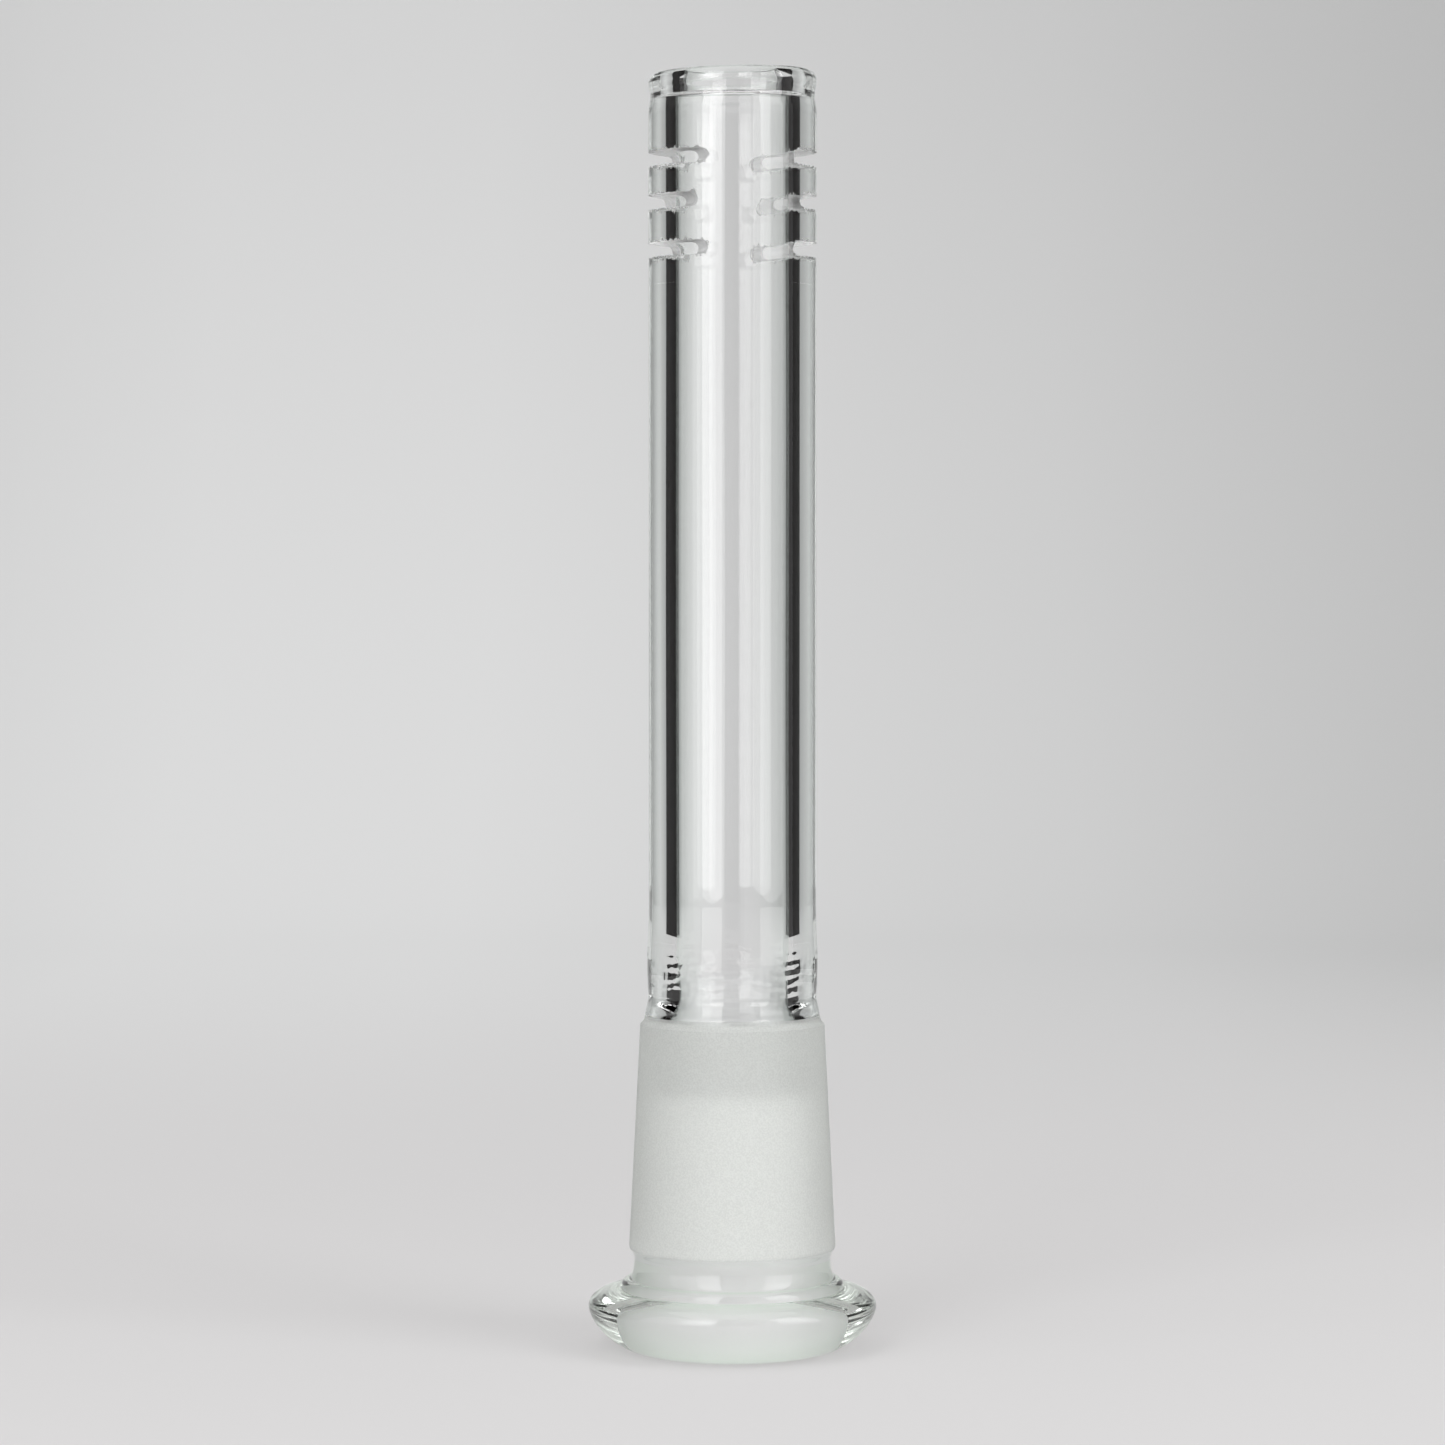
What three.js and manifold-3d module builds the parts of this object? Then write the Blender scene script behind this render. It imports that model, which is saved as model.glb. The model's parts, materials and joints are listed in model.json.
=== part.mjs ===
// Ground-joint glass diffuser stem, standing upside down on its rim collar.
//
// A heavy glass tube is sealed to a tapered ground joint. The joint is a ground cone outside
// and a ground socket inside, and ends in a thick rounded collar. The far end of the tube has
// six saw-cut slits, in three pairs, and a fire-polished lip. The bore runs right through.
//
// Millimetres, +Z up. The origin is on the axis, in the plane of the foot that it stands on.

import * as THREE from "three";
import { mergeVertices } from "three/addons/utils/BufferGeometryUtils.js";
import Module from "manifold-3d";

// ---------------------------------------------------------------- driving dimensions

const HEIGHT = 116.2; // whole article, foot to lip

// Standard ground joints, 1 in 10 on the diameter.
const JOINT_TAPER = 1 / 10;
const CONE_LARGE_R = 18.8 / 2; // outer ground cone, at its large end
const SOCKET_MOUTH_R = 14.5 / 2; // inner ground socket, at the foot
const SOCKET_DEPTH = 23.5;

// Rim collar: a fat ring whose section is two quarter-ovals, with a ledge on its back, a
// small bead on the ledge, and a fillet from the bead up to the clear neck.
const FOOT_R = 8.5; // outer edge of the flat foot
const COLLAR_R = 13.14;
const COLLAR_WIDEST_Z = 4.03;
const UNDER_FULLNESS = 1.62; // exponent of the oval under the widest line
const LEDGE_R = 10.6; // the back of the collar is flat from here in to the bead
const LEDGE_Z = 5.65;
const BEAD_R = 10.2;
const BEAD_TOP_R = 9.5;
const BEAD_TOP_Z = 6.55;
const NECK_R = 8.96;
const NECK_Z = 8.4; // the neck is bevelled out to the ground cone from here
const MOUTH_ROUND = 0.5; // polished edge of the socket mouth

// Ground joint.
const CONE_Z = 9.65; // large end of the ground cone
const CONE_END_Z = 29.8; // small end of the ground cone
const THROAT_END_Z = 27; // the socket has narrowed to the throat here
const THROAT_R = 5.9;

// Flame seal between the joint and the tube.
const SEAL_END_Z = 37.2;
const SEAL_STEP_R = 8.03; // the ground cone steps in to this
const SEAL_STEP_Z = 30.1;
const SEAL_GROOVE_R = 7.58;
const SEAL_GROOVE_Z = 32.0;
const SEAL_BULGE_R = 7.79;
const SEAL_BULGE_Z = 35.4;
const SEAL_BORE_R = 5.05; // the throat narrows to this, a little tighter than the tube
const SEAL_BORE_Z = 32.4;
const SEAL_BLEND = 5; // length over which the tube comes back to its own size

// Tube.
const TUBE_R = 7.62;
const BORE_R = 5.15;
const TIP_Z = 97; // the slotted end starts here

// Fire-polished lip.
const LIP_ROUND = 1.0; // outer edge
const LIP_WAIST = 0.17; // shallow waist in the outside, under the lip
const LIP_WAIST_Z = HEIGHT - 2.3;
const LIP_THICKENING = 0.7; // the lip has run inward by this much
const LIP_SWELL = 0.7; // height over which it does so
const LIP_DEPTH = 2.0; // from the top down to where the lip has its full thickness

// Slits: each pair is two straight saw cuts at one height, one from each side.
const SLIT_HEIGHTS = [100.0, 104.3, 108.2];
const SLIT_FLOORS = [4.0, 4.8, 4.0]; // from the axis to the bottoms of a pair
const SLIT_WIDTH = 1.25;
const SLIT_TURN = 14.5; // degrees about Z from the X axis to the cuts' own axis

// Fineness.
const SEGMENTS = 48; // facets round the axis
const ARC_STEPS = 8; // points on a quarter-oval
const BLEND_STEPS = 6; // points on a gentle blend

// ---------------------------------------------------------------- outlines

// Every outline is a list of (radius, height) points in the half-plane beside the axis.
const point = (radius, z) => new THREE.Vector2(radius, z);

// A raised cosine: 1 at its centre, 0 at halfWidth from it and beyond.
function bump(z, centre, halfWidth) {
  const t = Math.min(Math.abs(z - centre) / halfWidth, 1);
  return (1 + Math.cos(Math.PI * t)) / 2;
}

// Smooth step from a to b as t goes from 0 to 1.
const ease = (a, b, t) => a + ((b - a) * (1 - Math.cos(Math.PI * t))) / 2;

// Points at even heights from z0 to z1, both ends included, on the curve radiusAt(z).
function along(z0, z1, steps, radiusAt) {
  return Array.from({ length: steps + 1 }, (_, i) => {
    const z = THREE.MathUtils.lerp(z0, z1, i / steps);
    return point(radiusAt(z), z);
  });
}

// A quarter of an oval that leaves `from` running outward or inward and arrives at `to`
// running upward or downward. fullness is the exponent: 2 is an ellipse, less is slacker.
// The list holds `to` and leaves out `from`.
function quarterOval(from, to, fullness = 2) {
  const power = 2 / fullness;
  return Array.from({ length: ARC_STEPS }, (_, i) => {
    const angle = ((i + 1) / ARC_STEPS) * (Math.PI / 2);
    const across = Math.sin(angle) ** power;
    const up = 1 - Math.max(Math.cos(angle), 0) ** power;
    return point(from.x + (to.x - from.x) * across, from.y + (to.y - from.y) * up);
  });
}

const coneRadius = (z) => CONE_LARGE_R - (JOINT_TAPER / 2) * (z - CONE_Z);
const socketRadius = (z) => SOCKET_MOUTH_R - (JOINT_TAPER / 2) * z;

// Outside of the seal, from the ground cone's edge to the tube's own size.
function sealRadius(z) {
  if (z <= SEAL_GROOVE_Z) {
    const t = (z - SEAL_STEP_Z) / (SEAL_GROOVE_Z - SEAL_STEP_Z);
    return ease(SEAL_STEP_R, SEAL_GROOVE_R, t);
  }
  if (z <= SEAL_BULGE_Z) {
    const t = (z - SEAL_GROOVE_Z) / (SEAL_BULGE_Z - SEAL_GROOVE_Z);
    return ease(SEAL_GROOVE_R, SEAL_BULGE_R, t);
  }
  const t = Math.min((z - SEAL_BULGE_Z) / SEAL_BLEND, 1);
  return ease(SEAL_BULGE_R, TUBE_R, t);
}

// Inside of the seal: the throat narrows to a slight pinch and opens out to the tube's bore.
function sealBore(z) {
  if (z <= SEAL_BORE_Z) {
    return ease(THROAT_R, SEAL_BORE_R, (z - CONE_END_Z) / (SEAL_BORE_Z - CONE_END_Z));
  }
  return ease(SEAL_BORE_R, BORE_R, (z - SEAL_BORE_Z) / (SEAL_END_Z - SEAL_BORE_Z));
}

// ---------------------------------------------------------------- solids

// Turns a closed outline about Z. `outside` goes up the outer wall and `inside` comes back
// down the bore.
function turned(outside, inside) {
  const outline = [...outside, ...inside, outside[0].clone()];
  return new THREE.LatheGeometry(outline, SEGMENTS).rotateX(Math.PI / 2);
}

function rimCollar() {
  const foot = point(FOOT_R, 0);
  const widest = point(COLLAR_R, COLLAR_WIDEST_Z);
  const ledge = point(LEDGE_R, LEDGE_Z);
  const beadSide = point(BEAD_R, LEDGE_Z);
  const beadTop = point(BEAD_TOP_R, BEAD_TOP_Z);
  const under = quarterOval(foot, widest, UNDER_FULLNESS);
  const over = quarterOval(ledge, widest).reverse().slice(1);
  const bead = quarterOval(beadTop, beadSide).reverse();
  const fillet = quarterOval(beadTop, point(NECK_R, NECK_Z));
  const mouth = Array.from({ length: 4 }, (_, i) => {
    const angle = (i / 3) * (Math.PI / 2);
    const outward = MOUTH_ROUND * (1 - Math.cos(angle));
    const down = MOUTH_ROUND * Math.sin(angle);
    return point(socketRadius(MOUTH_ROUND) + outward, MOUTH_ROUND - down);
  });
  const inside = [point(socketRadius(NECK_Z), NECK_Z), ...mouth];
  return turned([foot, ...under, ...over, ledge, ...bead, beadTop, ...fillet], inside);
}

function jointSleeve() {
  const outside = [
    point(NECK_R, NECK_Z),
    point(CONE_LARGE_R, CONE_Z),
    point(coneRadius(CONE_END_Z), CONE_END_Z),
  ];
  const throat = along(THROAT_END_Z, SOCKET_DEPTH, BLEND_STEPS, (z) => {
    const t = (z - SOCKET_DEPTH) / (THROAT_END_Z - SOCKET_DEPTH);
    return ease(socketRadius(SOCKET_DEPTH), THROAT_R, t);
  });
  const inside = [point(THROAT_R, CONE_END_Z), ...throat, point(socketRadius(NECK_Z), NECK_Z)];
  return turned(outside, inside);
}

function sealRing() {
  const steps = 2 * BLEND_STEPS;
  const outside = [
    point(coneRadius(CONE_END_Z), CONE_END_Z),
    ...along(SEAL_STEP_Z, SEAL_END_Z, steps, sealRadius),
  ];
  return turned(outside, along(SEAL_END_Z, CONE_END_Z, steps, sealBore));
}

function stemTube() {
  const blendEnd = SEAL_BULGE_Z + SEAL_BLEND;
  const outside = [...along(SEAL_END_Z, blendEnd, BLEND_STEPS, sealRadius), point(TUBE_R, TIP_Z)];
  return turned(outside, [point(BORE_R, TIP_Z), point(BORE_R, SEAL_END_Z)]);
}

// The slotted end before it is sawn.
function tipBlank() {
  const shoulderZ = HEIGHT - LIP_ROUND;
  const waistHalf = shoulderZ - LIP_WAIST_Z;
  const wall = along(LIP_WAIST_Z - waistHalf, shoulderZ, BLEND_STEPS, (z) => {
    return TUBE_R - LIP_WAIST * bump(z, LIP_WAIST_Z, waistHalf);
  });
  const lipInner = BORE_R - LIP_THICKENING;
  const innerRound = (TUBE_R - LIP_ROUND - lipInner) / 2;
  const crestR = TUBE_R - LIP_ROUND;
  const outerEdge = quarterOval(point(crestR, HEIGHT), point(TUBE_R, shoulderZ)).reverse();
  const innerZ = HEIGHT - innerRound;
  const innerEdge = quarterOval(point(crestR - innerRound, HEIGHT), point(lipInner, innerZ));
  const fullZ = HEIGHT - LIP_DEPTH;
  const swell = along(fullZ, fullZ - LIP_SWELL, BLEND_STEPS, (z) => {
    return ease(lipInner, BORE_R, (fullZ - z) / LIP_SWELL);
  });
  return turned(
    [point(TUBE_R, TIP_Z), ...wall, ...outerEdge.slice(1), point(crestR, HEIGHT)],
    [point(crestR - innerRound, HEIGHT), ...innerEdge, ...swell, point(BORE_R, TIP_Z)],
  );
}

// One saw cut: a flat slot with a half-round bottom, cutting in along +X of its own frame.
function sawCut(z, floor, turn) {
  const half = SLIT_WIDTH / 2;
  const reach = 2 * TUBE_R;
  const outline = new THREE.Shape();
  outline.moveTo(reach, -half);
  outline.lineTo(reach, half);
  outline.lineTo(floor + half, half);
  outline.absarc(floor + half, 0, half, Math.PI / 2, (3 * Math.PI) / 2, false);
  const cut = new THREE.ExtrudeGeometry(outline, {
    depth: 2 * reach,
    bevelEnabled: false,
    curveSegments: 8,
  });
  cut.translate(0, 0, -reach).rotateX(Math.PI / 2);
  return cut.rotateZ(THREE.MathUtils.degToRad(turn)).translate(0, 0, z);
}

// ---------------------------------------------------------------- booleans

const wasm = await Module();
wasm.setup();

function toSolid(geometry) {
  const bare = geometry.clone();
  bare.deleteAttribute("normal");
  bare.deleteAttribute("uv");
  const merged = mergeVertices(bare, 1e-4);
  return new wasm.Manifold(
    new wasm.Mesh({
      numProp: 3,
      vertProperties: new Float32Array(merged.attributes.position.array),
      triVerts: new Uint32Array(merged.index.array),
    }),
  );
}

function toGeometry(solid) {
  const mesh = solid.getMesh();
  const geometry = new THREE.BufferGeometry();
  geometry.setAttribute("position", new THREE.BufferAttribute(mesh.vertProperties, 3));
  geometry.setIndex(new THREE.BufferAttribute(mesh.triVerts, 1));
  geometry.computeVertexNormals();
  return geometry;
}

function slottedTip() {
  let tip = toSolid(tipBlank());
  SLIT_HEIGHTS.forEach((z, row) => {
    for (const turn of [SLIT_TURN, SLIT_TURN + 180]) {
      tip = tip.subtract(toSolid(sawCut(z, SLIT_FLOORS[row], turn)));
    }
  });
  return toGeometry(tip);
}

// ---------------------------------------------------------------- materials

const clearGlass = { color: 0xdfe6e2, roughness: 0.04, metalness: 0 };
const groundGlass = { color: 0xd6d9d6, roughness: 0.62, metalness: 0 };
const sealGlass = { color: 0xd3dbd7, roughness: 0.08, metalness: 0 };

function piece(name, geometry, look) {
  const mesh = new THREE.Mesh(geometry, new THREE.MeshStandardMaterial(look));
  mesh.name = name;
  return mesh;
}

// ---------------------------------------------------------------- assembly

const stem = new THREE.Group();
stem.add(
  piece("rim_collar", rimCollar(), clearGlass),
  piece("joint_sleeve", jointSleeve(), groundGlass),
  piece("seal_ring", sealRing(), sealGlass),
  piece("stem_tube", stemTube(), clearGlass),
  piece("slotted_tip", slottedTip(), clearGlass),
);

export default stem;
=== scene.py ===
import json
import math

import bpy
import numpy as np
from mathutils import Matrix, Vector, noise

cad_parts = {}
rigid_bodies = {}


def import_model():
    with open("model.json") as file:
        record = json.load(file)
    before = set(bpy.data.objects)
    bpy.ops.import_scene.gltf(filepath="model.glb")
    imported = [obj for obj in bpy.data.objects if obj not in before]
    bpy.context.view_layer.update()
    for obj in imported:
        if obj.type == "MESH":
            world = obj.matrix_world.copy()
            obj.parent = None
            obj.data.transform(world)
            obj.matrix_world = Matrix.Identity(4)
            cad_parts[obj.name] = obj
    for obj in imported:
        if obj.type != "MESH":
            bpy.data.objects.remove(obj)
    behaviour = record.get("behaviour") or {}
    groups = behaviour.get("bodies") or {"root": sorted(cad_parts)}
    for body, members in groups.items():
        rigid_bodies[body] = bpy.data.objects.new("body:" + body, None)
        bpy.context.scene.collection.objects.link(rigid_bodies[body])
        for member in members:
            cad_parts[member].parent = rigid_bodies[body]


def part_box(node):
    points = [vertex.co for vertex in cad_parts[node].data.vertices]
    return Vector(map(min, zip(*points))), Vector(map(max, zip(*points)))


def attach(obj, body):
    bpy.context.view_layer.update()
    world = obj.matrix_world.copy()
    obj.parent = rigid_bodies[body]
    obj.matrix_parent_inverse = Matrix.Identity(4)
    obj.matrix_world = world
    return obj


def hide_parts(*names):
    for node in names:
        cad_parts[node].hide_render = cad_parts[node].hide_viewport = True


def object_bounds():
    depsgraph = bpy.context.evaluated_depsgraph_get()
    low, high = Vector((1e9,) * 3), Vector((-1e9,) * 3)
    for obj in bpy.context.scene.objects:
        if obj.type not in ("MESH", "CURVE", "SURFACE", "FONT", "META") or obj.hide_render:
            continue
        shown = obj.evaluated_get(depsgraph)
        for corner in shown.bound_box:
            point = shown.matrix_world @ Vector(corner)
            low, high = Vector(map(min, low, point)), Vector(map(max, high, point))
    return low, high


# A ground-joint glass diffuser stem on a pale studio table. The glass is worked out in
# millimetres, and MM turns it into metres when a mesh is made. The studio is in metres.

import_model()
CAD_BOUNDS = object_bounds()
MM = 0.001

# ------------------------------------------------------------------ driving dimensions

COLLAR_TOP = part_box("rim_collar")[1].z / MM
SLEEVE_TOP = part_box("joint_sleeve")[1].z / MM
SEAL_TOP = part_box("seal_ring")[1].z / MM
TUBE_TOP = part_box("stem_tube")[1].z / MM
HEIGHT = CAD_BOUNDS[1].z / MM
COLLAR_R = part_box("rim_collar")[1].x / MM

FOOT_R = 8.5
COLLAR_WIDEST_Z = 4.03
UNDER_FULLNESS = 1.62
LEDGE_R, LEDGE_Z = 10.6, 5.65
LEDGE_DIP = 0.02
BEAD_R = 10.2
BEAD_TOP_R, BEAD_TOP_Z = 9.5, 6.55
NECK_R = 8.96
MOUTH_ROUND = 0.5
MOUTH_CLEAR = 1.1  # the grinding stops this far inside the mouth

CONE_LARGE_R = 9.4
CONE_Z = 9.65
FROST_Z = 9.3  # the grinding runs down over the bevel to here
SOCKET_MOUTH_R = 7.25
TAPER = 0.05  # change of radius per unit length on both ground surfaces
SOCKET_DEPTH = 23.5
THROAT_END_Z = 27.0
THROAT_R = 5.9

# Outside of the seal: heights and radii from the ground edge up to the plain tube.
SEAL_Z = (30.0, 30.3, 30.7, 31.2, 31.7, 32.2, 33.3, 35.2, 36.4, 37.6, 39.0, 41.0)
SEAL_R = (8.18, 8.02, 7.95, 7.87, 7.75, 7.67, 7.73, 7.785, 7.76, 7.7, 7.655, 7.62)
SEAL_FROST_Z = 30.3  # the grinding has caught the seal's edge up to here
SEAL_HAZE_Z = 30.65  # and half caught it up to here
SEAL_BORE_R, SEAL_BORE_Z = 5.05, 32.4

TUBE_R = 7.62
BORE_R = 5.15

LIP_ROUND = 1.0
LIP_WAIST = 0.17
LIP_WAIST_Z = HEIGHT - 2.3
LIP_WAIST_HALF = HEIGHT - LIP_ROUND - LIP_WAIST_Z
LIP_THICKENING = 0.7
LIP_SWELL = 0.7  # the height over which the lip swells to its full thickness
LIP_DEPTH = 2.0  # from the top down to where the lip has its full thickness
LIP_SLOPE = 0.022  # the rim is this much out of square, rising towards +X
LIP_SLOPE_Z, LIP_SLOPE_BLEND = 112.5, 3.0  # where the slope starts, and how soon it is full

SLIT_HEIGHTS = (100.0, 104.3, 108.2)
SLIT_FLOORS = (4.0, 4.8, 4.0)
SLIT_WIDTH = 1.25
SLIT_TURN = math.radians(14.5)
SLIT_MARGIN = 2.0  # how far above and below the slits the walls' normals are set

# The saw's cutter reaches past the tube on every side. Its surface is rough, and it breaks
# splinters out of the edges where it meets the two walls.
CUTTER_REACH, CUTTER_HALF_LENGTH, CUTTER_STEP = 9.0, 7.6, 0.1
SAW_GRAIN = 0.02
EDGE_WEAR, EDGE_WIDTH = 0.05, 0.2
OUTER_CHIP, INNER_CHIP = 0.5, 0.05
SAW_WANDER = 0.03
GRAIN_SCALE, CHIP_SCALE, WANDER_SCALE = 3, 4.2, 0.4

# Unevenness of the walls: size, seed, number of waves, most waves around, most per mm along.
OUTER_WAVES = (0.004, 11, 6, 5, 0.02)
OUTER_SEAL_WAVES = ((0.007, 12, 12, 6, 0.9), (0.012, 13, 4, 2, 0.2))
OUTER_SEAL_Z, OUTER_SEAL_HALF = 34.6, 4.0
INNER_WAVES = (0.008, 21, 6, 4, 0.02)
INNER_SEAL_WAVES = (
    (0.008, 22, 18, 46, 0.5),
    (0.012, 24, 12, 9, 1.3),
    (0.016, 23, 4, 2, 0.25),
)
INNER_SEAL_Z, INNER_SEAL_HALF = 34.4, 3.6

SEGMENTS = 256  # steps round the axis
SEAM_GAP = 0.001  # half the gap between neighbouring pieces, to keep their faces apart

IOR = 1.474
EDGE_TINT_BLEND = 0.35
MOTTLE = ((0.38, 0.93), (0.62, 1.05))  # noise value and share of the colour


# ------------------------------------------------------------------ outlines


def ease(a, b, t):
    """From a to b, level at both ends, as t goes from 0 to 1."""
    return a + (b - a) * (1 - np.cos(np.pi * np.clip(t, 0, 1))) / 2


def bump(z, centre, half):
    """A smooth hump: 1 at centre, 0 from half away."""
    return (1 + np.cos(np.pi * np.clip(np.abs(z - centre) / half, 0, 1))) / 2


def quarter_oval(start, end, fullness=2.0, steps=20):
    """Leaves start across the axis and arrives at end along it. start isn't in the list.

    A fullness of 2 is an ellipse, and 1 would be a straight line."""
    angle = np.linspace(0, math.pi / 2, steps + 1)[1:]
    across = np.sin(angle) ** (2 / fullness)
    up = 1 - np.maximum(np.cos(angle), 0) ** (2 / fullness)
    return [
        (start[0] + (end[0] - start[0]) * a, start[1] + (end[1] - start[1]) * u)
        for a, u in zip(across, up)
    ]


def along(z0, z1, step, radius_at):
    """Points of a wall from z0 to z1, both included, about step apart."""
    count = max(int(round(abs(z1 - z0) / step)), 1)
    return [(float(radius_at(z)), float(z)) for z in np.linspace(z0, z1, count + 1)]


def cone_radius(z):
    return CONE_LARGE_R - TAPER * (z - CONE_Z)


def neck_radius(z):
    return ease(NECK_R, cone_radius(z), (z - COLLAR_TOP) / (CONE_Z - COLLAR_TOP))


def seal_radius(z):
    """A smooth curve through the seal's measured radii."""
    knots = np.array([SLEEVE_TOP, *SEAL_Z])
    radii = np.array([cone_radius(SLEEVE_TOP), *SEAL_R])
    slope = np.gradient(radii, knots)
    slope[-1] = 0
    k = int(np.clip(np.searchsorted(knots, z) - 1, 0, len(knots) - 2))
    span = knots[k + 1] - knots[k]
    t = min(max((z - knots[k]) / span, 0), 1)
    return (
        radii[k] * (1 + 2 * t) * (1 - t) ** 2
        + slope[k] * span * t * (1 - t) ** 2
        + radii[k + 1] * t * t * (3 - 2 * t)
        - slope[k + 1] * span * t * t * (1 - t)
    )


def tip_radius(z):
    return TUBE_R - LIP_WAIST * bump(z, LIP_WAIST_Z, LIP_WAIST_HALF)


def socket_radius(z):
    return SOCKET_MOUTH_R - TAPER * z


def bore_radius(z):
    if z <= SOCKET_DEPTH:
        return socket_radius(z)
    if z <= SLEEVE_TOP:
        t = (z - SOCKET_DEPTH) / (THROAT_END_Z - SOCKET_DEPTH)
        return ease(socket_radius(SOCKET_DEPTH), THROAT_R, t)
    if z <= SEAL_BORE_Z:
        return ease(THROAT_R, SEAL_BORE_R, (z - SLEEVE_TOP) / (SEAL_BORE_Z - SLEEVE_TOP))
    return ease(SEAL_BORE_R, BORE_R, (z - SEAL_BORE_Z) / (SEAL_TOP - SEAL_BORE_Z))


# ------------------------------------------------------------------ hand-made unevenness


def waves(theta, z, seed, count, around, per_mm):
    """A repeatable sum of waves of about unit size, round and along the tube."""
    rng = np.random.default_rng(seed)
    total = 0
    for _ in range(count):
        k = int(rng.integers(0, around + 1))
        m = rng.uniform(-per_mm, per_mm)
        total = total + np.cos(k * theta + 2 * math.pi * m * z + rng.uniform(0, 2 * math.pi))
    return total / math.sqrt(count)


def wall_shift(theta, z, everywhere, in_seal, nearness):
    """How far a wall is off its outline. The seal's ripples grow with the nearness to it."""
    plain = everywhere[0] * waves(theta, z, *everywhere[1:])
    ripples = sum(size * waves(theta, z, *rest) for size, *rest in in_seal)
    return plain + nearness * ripples


def outer_shift(theta, z):
    nearness = bump(z, OUTER_SEAL_Z, OUTER_SEAL_HALF)
    return wall_shift(theta, z, OUTER_WAVES, OUTER_SEAL_WAVES, nearness)


def inner_shift(theta, z):
    nearness = bump(z, INNER_SEAL_Z, INNER_SEAL_HALF)
    return wall_shift(theta, z, INNER_WAVES, INNER_SEAL_WAVES, nearness)


# ------------------------------------------------------------------ meshes


def turned(name, outline, materials):
    """Turns a closed outline of (radius, height, side, material) about Z.

    side is +1 on the outer wall and -1 on the inner wall, for the unevenness. material is the
    index of the strip that starts at the point."""
    r, z, side, strip = (np.array(column)[:, None] for column in zip(*outline))
    theta = (np.arange(SEGMENTS) * 2 * math.pi / SEGMENTS)[None, :]
    r = r + np.where(side > 0, outer_shift(theta, z), inner_shift(theta, z))
    z = z + LIP_SLOPE * r * np.cos(theta) * ease(0, 1, (z - LIP_SLOPE_Z) / LIP_SLOPE_BLEND)
    co = np.stack([r * np.cos(theta), r * np.sin(theta), z], axis=-1).reshape(-1, 3) * MM
    count = len(outline)
    i, j = np.meshgrid(np.arange(count), np.arange(SEGMENTS), indexing="ij")
    nxt, right = (i + 1) % count, (j + 1) % SEGMENTS
    quads = np.stack(
        [i * SEGMENTS + j, i * SEGMENTS + right, nxt * SEGMENTS + right, nxt * SEGMENTS + j],
        axis=-1,
    ).reshape(-1, 4)
    mesh = bpy.data.meshes.new(name)
    mesh.from_pydata(co.tolist(), [], quads.tolist())
    for material in materials:
        mesh.materials.append(material)
    mesh.polygons.foreach_set("material_index", np.repeat(strip[:, 0], SEGMENTS))
    piece = bpy.data.objects.new(name, mesh)
    bpy.context.scene.collection.objects.link(piece)
    return piece


def read(collection, name):
    """One whole number for each item."""
    values = np.zeros(len(collection), np.int32)
    collection.foreach_get(name, values)
    return values


def loop_materials(mesh):
    """The material index of the face that each loop belongs to."""
    polygons = mesh.polygons
    return np.repeat(read(polygons, "material_index"), read(polygons, "loop_total"))


def crisp_edges(mesh):
    """Smooth shading, with a sharp edge wherever two materials meet."""
    mesh.polygons.foreach_set("use_smooth", np.ones(len(mesh.polygons), bool))
    edge, material = read(mesh.loops, "edge_index"), loop_materials(mesh)
    lowest = np.full(len(mesh.edges), len(mesh.materials))
    highest = np.full(len(mesh.edges), -1)
    np.minimum.at(lowest, edge, material)
    np.maximum.at(highest, edge, material)
    flag = mesh.attributes.get("sharp_edge") or mesh.attributes.new(
        "sharp_edge", "BOOLEAN", "EDGE"
    )
    flag.data.foreach_set("value", lowest != highest)
    mesh.update()


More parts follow.
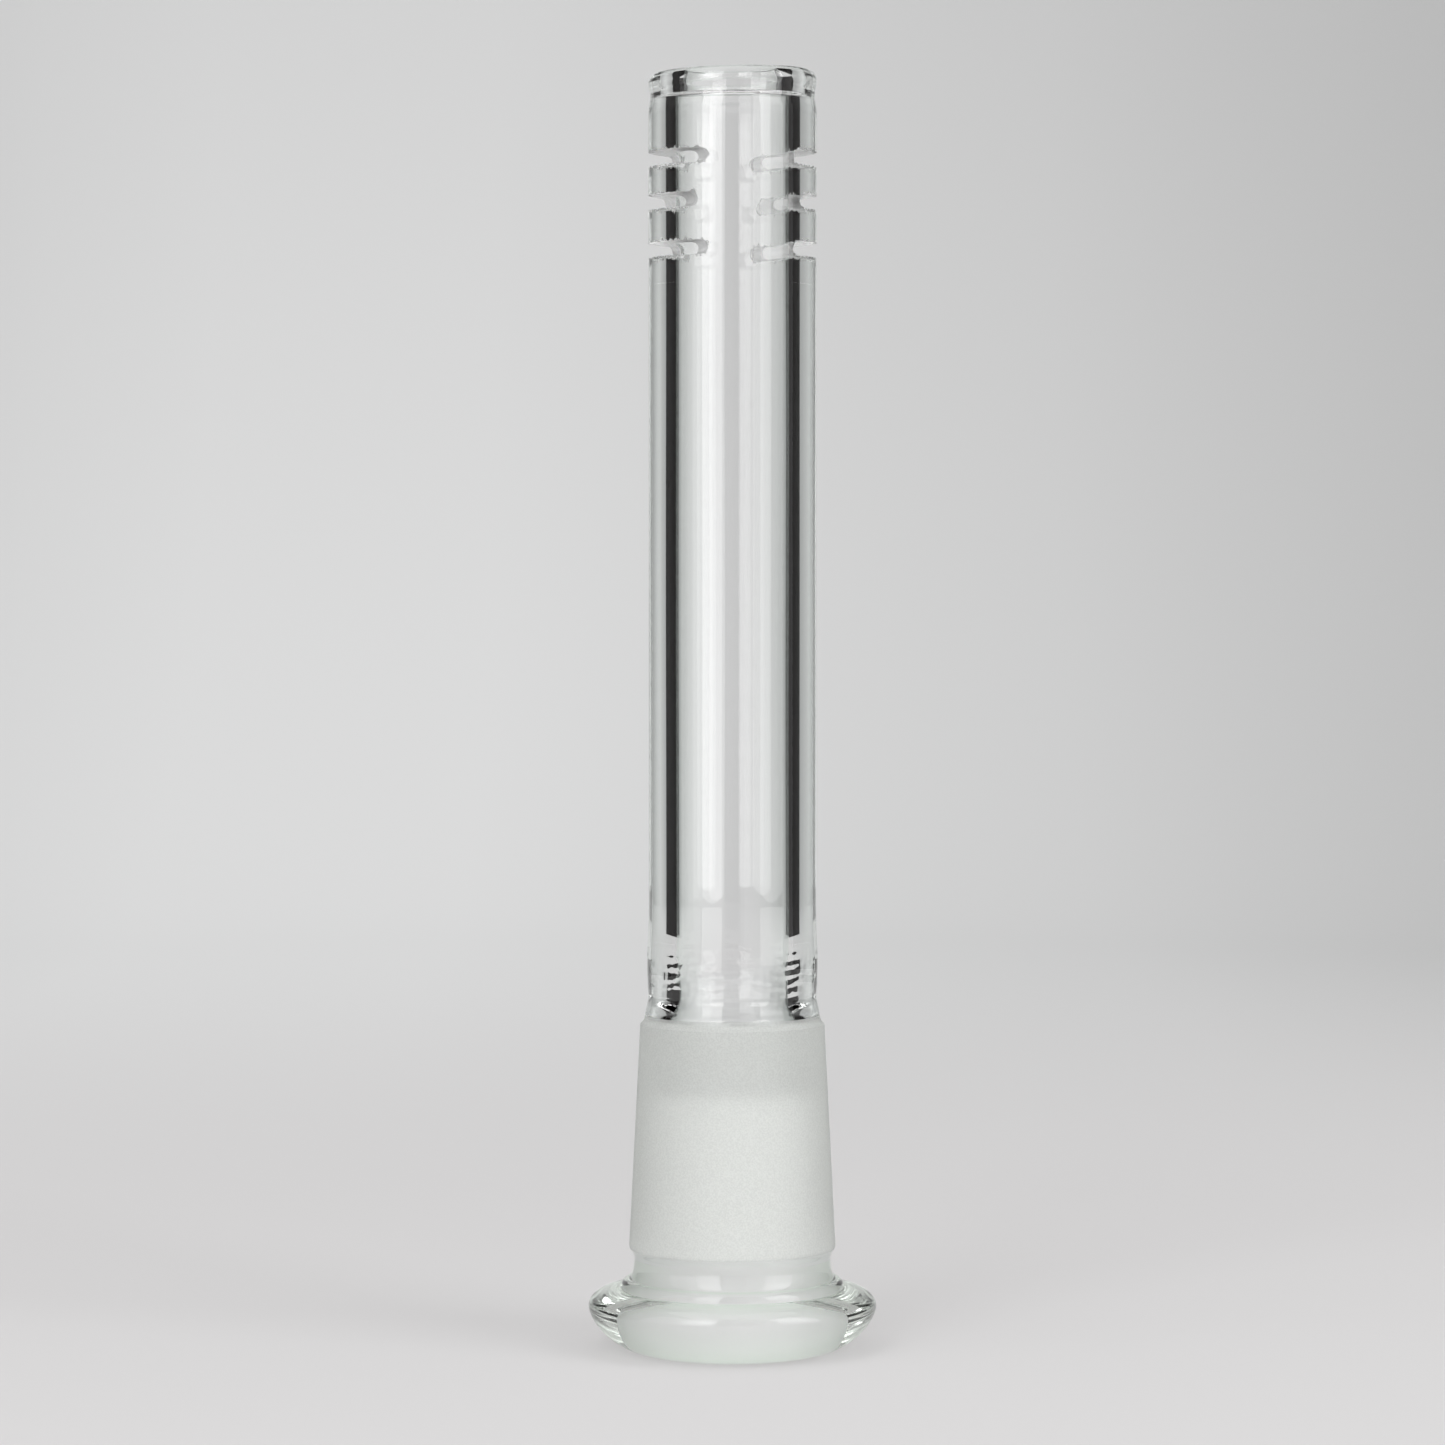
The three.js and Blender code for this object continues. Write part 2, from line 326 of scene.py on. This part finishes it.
def saw_cutter(name, z, floor, turn, seed, material):
    """The glass that one saw cut takes away: a flat slot with a half-round bottom and
    splintered edges. The bottom comes to floor millimetres from the axis. The seed gives each
    cut its own part of the noise."""
    half = SLIT_WIDTH / 2
    middle = floor + half
    across = list(np.arange(CUTTER_REACH, middle, -CUTTER_STEP))
    arc = [(math.cos(a), math.sin(a)) for a in np.linspace(math.pi / 2, 3 * math.pi / 2, 17)]
    section = [(x, half, 0, 1) for x in across]  # each point, then the way out of the slot
    section += [(middle + half * c, half * s, c, s) for c, s in arc]
    section += [(x, -half, 0, -1) for x in reversed(across)]
    length = CUTTER_HALF_LENGTH
    columns = np.arange(-length, length + CUTTER_STEP / 100, CUTTER_STEP)
    verts = []
    for y in columns:
        for x, up, nx, nz in section:
            radius = math.hypot(x, y)
            grain = noise.noise(
                Vector((x * GRAIN_SCALE, y * GRAIN_SCALE, up * GRAIN_SCALE + seed * 7))
            )
            chip = noise.noise(Vector((x * CHIP_SCALE, y * CHIP_SCALE, seed * 13 + up)))
            outer = math.exp(-(((radius - TUBE_R) / EDGE_WIDTH) ** 2))
            inner = math.exp(-(((radius - BORE_R) / EDGE_WIDTH) ** 2))
            splinter = (OUTER_CHIP * outer + INNER_CHIP * inner) * max(chip, 0)
            push = SAW_GRAIN * grain + EDGE_WEAR * outer + splinter
            wander = SAW_WANDER * noise.noise(Vector((y * WANDER_SCALE, seed * 5, 0)))
            verts.append((x + nx * push, y, up + nz * push + wander))
    n, m = len(section), len(columns)
    faces = []
    for j in range(m - 1):
        for i in range(n):
            k = (i + 1) % n
            faces.append((j * n + i, (j + 1) * n + i, (j + 1) * n + k, j * n + k))
    faces.append(tuple(range(n)))
    faces.append(tuple((m - 1) * n + i for i in reversed(range(n))))
    c, s = math.cos(turn), math.sin(turn)
    placed = [((x * c - y * s) * MM, (x * s + y * c) * MM, (up + z) * MM) for x, y, up in verts]
    mesh = bpy.data.meshes.new(name)
    mesh.from_pydata(placed, [], faces)
    mesh.materials.append(material)
    mesh.update()
    cutter = bpy.data.objects.new(name, mesh)
    bpy.context.scene.collection.objects.link(cutter)
    return cutter


# ------------------------------------------------------------------ materials


def new_material(name):
    material = bpy.data.materials.new(name)
    material.use_nodes = True
    tree = material.node_tree
    tree.nodes.clear()
    return material, tree, tree.nodes.new("ShaderNodeOutputMaterial")


def link(tree, source, output, target, socket):
    """Joins a node's output to another node's socket."""
    tree.links.new(source.outputs[output], target.inputs[socket])


def map_range(tree, start, stop, to_start=0.0, to_stop=1.0, smooth=False):
    node = tree.nodes.new("ShaderNodeMapRange")
    if smooth:
        node.interpolation_type = "SMOOTHSTEP"
    node.inputs["From Min"].default_value = start
    node.inputs["From Max"].default_value = stop
    node.inputs["To Min"].default_value = to_start
    node.inputs["To Max"].default_value = to_stop
    return node


def position(tree):
    """The point on the object, split into X, Y and Z."""
    where = tree.nodes.new("ShaderNodeTexCoord")
    split = tree.nodes.new("ShaderNodeSeparateXYZ")
    link(tree, where, "Object", split, "Vector")
    return split


def ramp(tree, stops):
    node = tree.nodes.new("ShaderNodeValToRGB")
    elements = node.color_ramp.elements
    while len(elements) < len(stops):
        elements.new(0.5)
    for element, (place, colour) in zip(elements, stops):
        element.position = place
        element.color = (*colour, 1)
    return node


def glass(name, roughness, clearness=1.0, colour=(1, 1, 1), edge=None, grain=0, relief=0):
    """Glass. edge is its tint where it is seen edge on. grain is the scale, per metre, of a
    fine mottling with the depth relief."""
    material, tree, output = new_material(name)
    shader = tree.nodes.new("ShaderNodeBsdfPrincipled")
    shader.inputs["Base Color"].default_value = (*colour, 1)
    shader.inputs["Transmission Weight"].default_value = clearness
    shader.inputs["Roughness"].default_value = roughness
    shader.inputs["IOR"].default_value = IOR
    link(tree, shader, "BSDF", output, "Surface")
    if edge:
        facing = tree.nodes.new("ShaderNodeLayerWeight")
        facing.inputs["Blend"].default_value = EDGE_TINT_BLEND
        tint = ramp(tree, [(0.0, colour), (1.0, edge)])
        link(tree, facing, "Facing", tint, "Fac")
        link(tree, tint, "Color", shader, "Base Color")
    if grain:
        where = tree.nodes.new("ShaderNodeTexCoord")
        texture = tree.nodes.new("ShaderNodeTexNoise")
        texture.inputs["Scale"].default_value = grain
        texture.inputs["Detail"].default_value = 2.0
        mottle = ramp(tree, [(at, [share * c for c in colour]) for at, share in MOTTLE])
        bumps = tree.nodes.new("ShaderNodeBump")
        bumps.inputs["Distance"].default_value = relief
        link(tree, where, "Object", texture, "Vector")
        link(tree, texture, "Fac", mottle, "Fac")
        link(tree, mottle, "Color", shader, "Base Color")
        link(tree, texture, "Fac", bumps, "Height")
        link(tree, bumps, "Normal", shader, "Normal")
    return material


def seam_material():
    """The fused plane between two pieces: the glass simply carries on."""
    material, tree, output = new_material("fused_plane")
    through = tree.nodes.new("ShaderNodeBsdfTransparent")
    link(tree, through, "BSDF", output, "Surface")
    return material


clear = glass("clear_glass", 0.0, edge=(0.86, 0.97, 0.9))
seal = glass("seal_glass", 0.0, edge=(0.84, 0.96, 0.89))
collar = glass("collar_glass", 0.0, edge=(0.72, 0.94, 0.73))
ground = glass(
    "ground_glass", 0.7, 0.6, (0.735, 0.752, 0.73), grain=6500, relief=0.00002
)
socket = glass("ground_socket", 0.7, 0.0)
haze = glass(
    "half_ground_glass", 0.4, 0.75, (0.76, 0.78, 0.76), grain=4200, relief=0.00004
)
sawn = glass("sawn_glass", 1.0, 1.0, grain=4200, relief=0.00004)
seam = seam_material()


# ------------------------------------------------------------------ the five pieces


def strips(points, side, material):
    """Points of an outline, with the wall's side and the material's index."""
    return [(r, z, side, material) for r, z in points]


def seam_from_end(points, material):
    """The strip that starts at the last point is a seam face."""
    points[-1] = (*points[-1][:3], material)


def rim_collar():
    """The rounded collar with the flat foot. Its ledge carries a bead below the neck."""
    foot = (FOOT_R, 0.0)
    widest = (COLLAR_R, COLLAR_WIDEST_Z)
    top = COLLAR_TOP - SEAM_GAP
    outside = [foot]
    outside += quarter_oval(foot, widest, UNDER_FULLNESS, 30)
    outside += quarter_oval((LEDGE_R, LEDGE_Z), widest, 2, 26)[::-1][1:]
    outside += [(LEDGE_R, LEDGE_Z), ((LEDGE_R + BEAD_R) / 2, LEDGE_Z - LEDGE_DIP)]
    outside += quarter_oval((BEAD_TOP_R, BEAD_TOP_Z), (BEAD_R, LEDGE_Z), 2, 14)[::-1]
    outside += [(BEAD_TOP_R, BEAD_TOP_Z)]
    outside += quarter_oval((BEAD_TOP_R, BEAD_TOP_Z), (NECK_R, top), 2, 16)
    mouth = [
        (
            socket_radius(MOUTH_ROUND) + MOUTH_ROUND * (1 - math.cos(a)),
            MOUTH_ROUND - MOUTH_ROUND * math.sin(a),
        )
        for a in np.linspace(0, math.pi / 2, 9)
    ]
    inside = along(top, MOUTH_CLEAR, 0.4, socket_radius)[:-1]
    mouth = along(MOUTH_CLEAR, MOUTH_ROUND, 0.2, socket_radius)[:-1] + mouth
    outline = strips(outside, 1, 0)
    seam_from_end(outline, 2)
    outline += strips(inside, -1, 1) + strips(mouth, -1, 0)
    return turned("collar_glass", outline, [collar, socket, seam])


def joint_sleeve():
    """The neck and the ground cone outside, the ground socket and the throat inside."""
    bottom, top = COLLAR_TOP + SEAM_GAP, SLEEVE_TOP - SEAM_GAP
    outside = strips(along(bottom, FROST_Z, 0.1, neck_radius)[:-1], 1, 0)
    outside += strips(along(FROST_Z, CONE_Z, 0.1, neck_radius)[:-1], 1, 1)
    outside += strips(along(CONE_Z, top, 0.4, cone_radius), 1, 1)
    inside = strips(along(top, SOCKET_DEPTH, 0.25, bore_radius)[:-1], -1, 0)
    inside += strips(along(SOCKET_DEPTH, bottom, 0.4, bore_radius), -1, 3)
    seam_from_end(outside, 2)
    seam_from_end(inside, 2)
    return turned("joint_glass", outside + inside, [clear, ground, seam, socket])


def seal_ring():
    """The flame seal. Its lowest edge is ground, and the next strip half ground."""
    bottom, top = SLEEVE_TOP + SEAM_GAP, SEAL_TOP - SEAM_GAP
    outside = strips(along(bottom, SEAL_FROST_Z, 0.05, seal_radius)[:-1], 1, 2)
    outside += strips(along(SEAL_FROST_Z, SEAL_HAZE_Z, 0.05, seal_radius)[:-1], 1, 3)
    outside += strips(along(SEAL_HAZE_Z, top, 0.06, seal_radius), 1, 0)
    inside = strips(along(top, bottom, 0.06, bore_radius), -1, 0)
    seam_from_end(outside, 1)
    seam_from_end(inside, 1)
    return turned("seal_glass", outside + inside, [seal, seam, ground, haze])


def stem_tube():
    """The plain tube, from the seal to the slotted part."""
    bottom, top = SEAL_TOP + SEAM_GAP, TUBE_TOP - SEAM_GAP
    blend = SEAL_Z[-1]
    outside = along(bottom, blend, 0.1, seal_radius)[:-1] + along(blend, top, 1, seal_radius)
    inside = along(top, blend, 1, bore_radius)[:-1] + along(blend, bottom, 0.1, bore_radius)
    outside, inside = strips(outside, 1, 0), strips(inside, -1, 0)
    seam_from_end(outside, 1)
    seam_from_end(inside, 1)
    return turned("tube_glass", outside + inside, [clear, seam])


def tip_blank():
    """The tube's end with its lip, before it is sawn."""
    bottom = TUBE_TOP + SEAM_GAP
    shoulder = HEIGHT - LIP_ROUND
    crest = TUBE_R - LIP_ROUND
    lip_inner = BORE_R - LIP_THICKENING
    inner_round = (crest - lip_inner) / 2
    full_z = HEIGHT - LIP_DEPTH
    inner_z = HEIGHT - inner_round
    waist_low = LIP_WAIST_Z - LIP_WAIST_HALF
    outside = along(bottom, waist_low, 1.2, tip_radius)[:-1]
    outside += along(waist_low, shoulder, 0.1, tip_radius)[:-1]
    outside += quarter_oval((crest, HEIGHT), (TUBE_R, shoulder), 2, 16)[::-1]
    outside += [(crest, HEIGHT)]
    inside = [(crest - inner_round, HEIGHT)]
    inside += quarter_oval((crest - inner_round, HEIGHT), (lip_inner, inner_z), 2, 14)
    inside += along(
        full_z,
        full_z - LIP_SWELL,
        0.04,
        lambda z: ease(lip_inner, BORE_R, (full_z - z) / LIP_SWELL),
    )[:-1]
    inside += along(full_z - LIP_SWELL, bottom, 1.2, bore_radius)
    outside, inside = strips(outside, 1, 0), strips(inside, -1, 0)
    seam_from_end(inside, 1)
    return turned("tip_glass", outside + inside, [clear, seam, sawn])


def wall_normals(mesh):
    """After sawing, gives the tube's two walls their true normals round the slits."""
    co = np.zeros(len(mesh.vertices) * 3)
    mesh.vertices.foreach_get("co", co)
    at = co.reshape(-1, 3)[read(mesh.loops, "vertex_index")] / MM
    radius = np.hypot(at[:, 0], at[:, 1])
    theta, z = np.arctan2(at[:, 1], at[:, 0]), at[:, 2]
    step = 1e-3
    outer = radius > (TUBE_R + BORE_R) / 2

    def shift(t, h):
        return np.where(outer, outer_shift(t, h), inner_shift(t, h))

    turn = (shift(theta + step, z) - shift(theta - step, z)) / (2 * step) / radius
    rise = (shift(theta, z + step) - shift(theta, z - step)) / (2 * step)
    normal = np.stack(
        [
            np.cos(theta) + turn * np.sin(theta),
            np.sin(theta) - turn * np.cos(theta),
            -rise,
        ],
        axis=-1,
    )
    normal *= np.where(outer, 1, -1)[:, None]
    normal /= np.linalg.norm(normal, axis=1)[:, None]
    low, high = SLIT_HEIGHTS[0] - SLIT_MARGIN, SLIT_HEIGHTS[-1] + SLIT_MARGIN
    on_wall = (loop_materials(mesh) == 0) & (z > low) & (z < high)
    normal[~on_wall] = 0
    mesh.normals_split_custom_set(normal.tolist())


def slotted_tip():
    """The sawn end: two cuts in each row, opposite each other."""
    tip = tip_blank()
    for row, z in enumerate(SLIT_HEIGHTS):
        for side in (0, 1):
            turn = SLIT_TURN + side * math.pi
            name, floor = f"saw_{row}_{side}", SLIT_FLOORS[row]
            cutter = saw_cutter(name, z, floor, turn, 2 * row + side + 1, sawn)
            cut = tip.modifiers.new(name, "BOOLEAN")
            cut.operation = "DIFFERENCE"
            cut.solver = "MANIFOLD"
            cut.object = cutter
            cut.material_mode = "TRANSFER"
            cutter.hide_render = True
    bpy.context.view_layer.update()
    graph = bpy.context.evaluated_depsgraph_get()
    sawn_mesh = bpy.data.meshes.new_from_object(tip.evaluated_get(graph))
    tip.modifiers.clear()
    tip.data = sawn_mesh
    for o in [o for o in bpy.data.objects if o.name.startswith("saw_")]:
        bpy.data.objects.remove(o)
    return tip


pieces = {
    "rim_collar": (rim_collar(), "clear_glass"),
    "joint_sleeve": (joint_sleeve(), "ground_glass"),
    "seal_ring": (seal_ring(), "seal_glass"),
    "stem_tube": (stem_tube(), "clear_glass"),
    "slotted_tip": (slotted_tip(), "clear_glass"),
}
for node, (piece, slot) in pieces.items():
    crisp_edges(piece.data)
    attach(piece, "root")
    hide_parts(node)
wall_normals(pieces["slotted_tip"][0].data)


# ------------------------------------------------------------------ studio

BOWL_FLOOR_R = 0.46
BOWL_WALL_R = 0.64
BOWL_TOP = 0.62


def show_to(o, camera=True, diffuse=True, glossy=True, transmission=True, shadow=True):
    o.visible_camera = camera
    o.visible_diffuse = diffuse
    o.visible_glossy = glossy
    o.visible_transmission = transmission
    o.visible_shadow = shadow


def grid_object(name, rows, material, wrap=False):
    """A smooth sheet through rows of points."""
    n = len(rows[0])
    verts = [p for row in rows for p in row]
    faces = [
        (i * n + j, i * n + (j + 1) % n, (i + 1) * n + (j + 1) % n, (i + 1) * n + j)
        for i in range(len(rows) - 1)
        for j in range(n if wrap else n - 1)
    ]
    mesh = bpy.data.meshes.new(name)
    mesh.from_pydata(verts, [], faces)
    mesh.polygons.foreach_set("use_smooth", np.ones(len(mesh.polygons), bool))
    mesh.materials.append(material)
    mesh.update()
    o = bpy.data.objects.new(name, mesh)
    bpy.context.scene.collection.objects.link(o)
    return o


PAPER_GLOW = 0.6
PAPER_FADE, PAPER_FADE_TOP = 0.8, 0.2  # the glow falls to this share at this height
PAPER_LIT = 0.28  # what the lamps alone give the backdrop
PAPER_SHADE = 1.08  # the greys below, times this, are the brightness the camera should see
PAPER_ALBEDO = 0.3
PAPER_COOL = 1.004  # the backdrop is this much stronger in green and blue than in red
TABLE_COLOUR = (0.60, 0.585, 0.588)
BACK_START, BACK_STOP = 0.05, 0.45  # over this Y the table's colour turns into the backdrop's
# Painted light on the backdrop, by X in metres: the grey its glow should give from left to
# right, brightest left of centre and darker out to both sides.
BACKDROP_PAINTED_LIGHT = (
    (-0.36, 0.39),
    (-0.29, 0.46),
    (-0.21, 0.57),
    (-0.146, 0.665),
    (-0.11, 0.694),
    (-0.05, 0.695),
    (0.0, 0.66),
    (0.038, 0.631),
    (0.07, 0.609),
    (0.102, 0.571),
    (0.145, 0.527),
    (0.2, 0.48),
    (0.28, 0.42),
    (0.36, 0.38),
)


def paper_material():
    """The pale table and backdrop: it scatters the lamps' light, and its glow is painted light,
    brighter left of centre on the backdrop and weaker higher up.
    """
    material, tree, output = new_material("paper")
    split = position(tree)
    across = map_range(tree, -BOWL_WALL_R, BOWL_WALL_R)
    link(tree, split, "X", across, "Value")
    behind = map_range(tree, BACK_START, BACK_STOP, smooth=True)
    link(tree, split, "Y", behind, "Value")
    stops = []
    # Painted light: the backdrop's glow is set so that, with what the lamps give, it shows the
    # listed greys.
    for x, grey in BACKDROP_PAINTED_LIGHT:
        v = (PAPER_SHADE * grey - PAPER_LIT) / PAPER_GLOW
        place = (x + BOWL_WALL_R) / (2 * BOWL_WALL_R)
        stops.append((place, (v, v * PAPER_COOL, v * PAPER_COOL)))
    back = ramp(tree, stops)
    link(tree, across, "Result", back, "Fac")
    mix = tree.nodes.new("ShaderNodeMix")
    mix.data_type = "RGBA"
    mix.inputs["A"].default_value = (*TABLE_COLOUR, 1)
    link(tree, behind, "Result", mix, "Factor")
    link(tree, back, "Color", mix, "B")
    fade = map_range(tree, 0.0, PAPER_FADE_TOP, PAPER_GLOW, PAPER_FADE * PAPER_GLOW)
    link(tree, split, "Z", fade, "Value")
    glow = tree.nodes.new("ShaderNodeEmission")
    link(tree, fade, "Result", glow, "Strength")
    link(tree, mix, "Result", glow, "Color")
    matt = tree.nodes.new("ShaderNodeBsdfDiffuse")
    matt.inputs["Color"].default_value = (PAPER_ALBEDO, PAPER_ALBEDO, PAPER_ALBEDO, 1)
    both = tree.nodes.new("ShaderNodeAddShader")
    link(tree, glow, "Emission", both, 0)
    link(tree, matt, "BSDF", both, 1)
    link(tree, both, "Shader", output, "Surface")
    return material


LAMP_STEP_LOW, LAMP_STEP_HIGH = 0.1, 0.2


def lamp_material(name, radiance, upper=None):
    """Shines from its front face only. The radiance rises to upper between the two heights of
    the lamp's step."""
    material, tree, output = new_material(name)
    side = tree.nodes.new("ShaderNodeNewGeometry")
    front = tree.nodes.new("ShaderNodeMath")
    front.operation = "SUBTRACT"
    front.inputs[0].default_value = 1.0
    link(tree, side, "Backfacing", front, 1)
    level = map_range(
        tree, LAMP_STEP_LOW, LAMP_STEP_HIGH, radiance, upper or radiance, smooth=True
    )
    link(tree, position(tree), "Z", level, "Value")
    scale = tree.nodes.new("ShaderNodeMath")
    scale.operation = "MULTIPLY"
    link(tree, front, "Value", scale, 0)
    link(tree, level, "Result", scale, 1)
    glow = tree.nodes.new("ShaderNodeEmission")
    link(tree, scale, "Value", glow, "Strength")
    link(tree, glow, "Emission", output, "Surface")
    return material


def bowl():
    """A round table that sweeps up into a wall."""
    rise = BOWL_WALL_R - BOWL_FLOOR_R
    outline = [(r, 0.0) for r in np.linspace(0.0005, BOWL_FLOOR_R, 24)]
    outline += [
        (BOWL_FLOOR_R + rise * math.sin(a), rise * (1 - math.cos(a)))
        for a in np.linspace(0, math.pi / 2, 24)[1:]
    ]
    outline += [(BOWL_WALL_R, z) for z in np.linspace(rise, BOWL_TOP, 8)[1:]]
    angles = np.linspace(0, 2 * math.pi, 181)[:-1]
    rows = [[(r * math.cos(a), r * math.sin(a), z) for a in angles] for r, z in outline]
    return grid_object("bowl", rows, paper_material(), wrap=True)


def facing_panel(name, from_deg, to_deg, radius, low, high, material, curved=False):
    """An upright panel seen from the object between two directions, clockwise from +Y."""
    a, b = math.radians(from_deg), math.radians(to_deg)
    middle, half = (a + b) / 2, (b - a) / 2
    rows = []
    for z in (low, high):
        row = []
        for t in np.linspace(-1, 1, 25):
            if curved:
                angle, reach = middle + half * t, radius
            else:
                angle = middle + math.atan(t * math.tan(half))
                reach = radius / math.cos(angle - middle)
            row.append((math.sin(angle) * reach, math.cos(angle) * reach, z))
        rows.append(row)
    return grid_object(name, rows, material)


def black_material():
    """Matt black card."""
    material, tree, output = new_material("black_card")
    matt = tree.nodes.new("ShaderNodeBsdfDiffuse")
    matt.inputs["Color"].default_value = (0.004, 0.003, 0.003, 1)
    link(tree, matt, "BSDF", output, "Surface")
    return material


CARD_R, CARD_TOP = 0.31, 0.6
SOFTBOX_R, SOFTBOX_Z = 0.43, (0.01, 0.56)
FILL_R, FILL_Z = 0.5, (0.36, 0.72)
OVERHEAD_X, OVERHEAD_Y, OVERHEAD_Z = (-0.4, 0.4), (-0.5, 0.3), 0.85
ROOM_GREY = 0.3

bowl()

# Black cards, seen only in the glass: they draw the two dark bands. Each has its two
# directions, the height of its lower edge and whether it shows through the glass too.
black = black_material()
for name, start, stop, low, through in (
    ("flag_right", 34.5, 79, 0.0, True),
    ("flag_left", -79, -36.5, 0.0, True),
    ("high_card_right", 7, 34.5, 0.22, True),
    ("high_card_left", -36.5, -9, 0.22, True),
    ("side_card_right", 79, 90, 0.0, False),
    ("side_card_left", -102, -79, 0.0, False),
    ("camera_side", 164, 194, 0.0, True),
):
    flag = facing_panel(name, start, stop, CARD_R, low, CARD_TOP, black, curved=True)
    show_to(flag, camera=False, diffuse=False, transmission=through, shadow=False)

# Softboxes: two directions, and the radiance low down and high up.
for name, start, stop, radiance, upper in (
    ("softbox_right", 108, 142, 2.4, 4.8),
    ("softbox_left", -166, -138, 2.6, 4.8),
    ("bounce_left", -136, -104, 1.2, 1.2),
):
    lit = lamp_material(name, radiance, upper)
    panel = facing_panel(name, start, stop, SOFTBOX_R, *SOFTBOX_Z, lit)
    show_to(panel, camera=False, shadow=False)

overhead = grid_object(
    "overhead",
    [[(x, y, OVERHEAD_Z) for y in OVERHEAD_Y] for x in OVERHEAD_X],
    lamp_material("overhead", 1.2),
)
show_to(overhead, camera=False, shadow=False)
fill = facing_panel("front_fill", 145, 215, FILL_R, *FILL_Z, lamp_material("front_fill", 1.5))
show_to(fill, camera=False, glossy=False, shadow=False)

world = bpy.data.worlds.new("room")
bpy.context.scene.world = world
world.use_nodes = True
room = world.node_tree.nodes["Background"].inputs["Color"]
room.default_value = (ROOM_GREY, ROOM_GREY, ROOM_GREY, 1)

# ------------------------------------------------------------------ camera

CAMERA_AT = Vector((-0.0009, -0.459, 0.075))
CAMERA_AIM = Vector((-0.0009, 0.0, 0.05725))

camera_data = bpy.data.cameras.new("camera")
camera_data.lens = 125.85
camera_data.sensor_width = 36
camera = bpy.data.objects.new("camera", camera_data)
bpy.context.scene.collection.objects.link(camera)
camera.location = CAMERA_AT
camera.rotation_euler = (CAMERA_AIM - CAMERA_AT).to_track_quat("-Z", "Y").to_euler()
bpy.context.scene.camera = camera

scene = bpy.context.scene
scene.view_settings.view_transform = "Standard"
scene.cycles.max_bounces = 32
scene.cycles.transmission_bounces = 32
scene.cycles.glossy_bounces = 16
scene.cycles.transparent_max_bounces = 64
scene.cycles.sample_clamp_indirect = 6.0
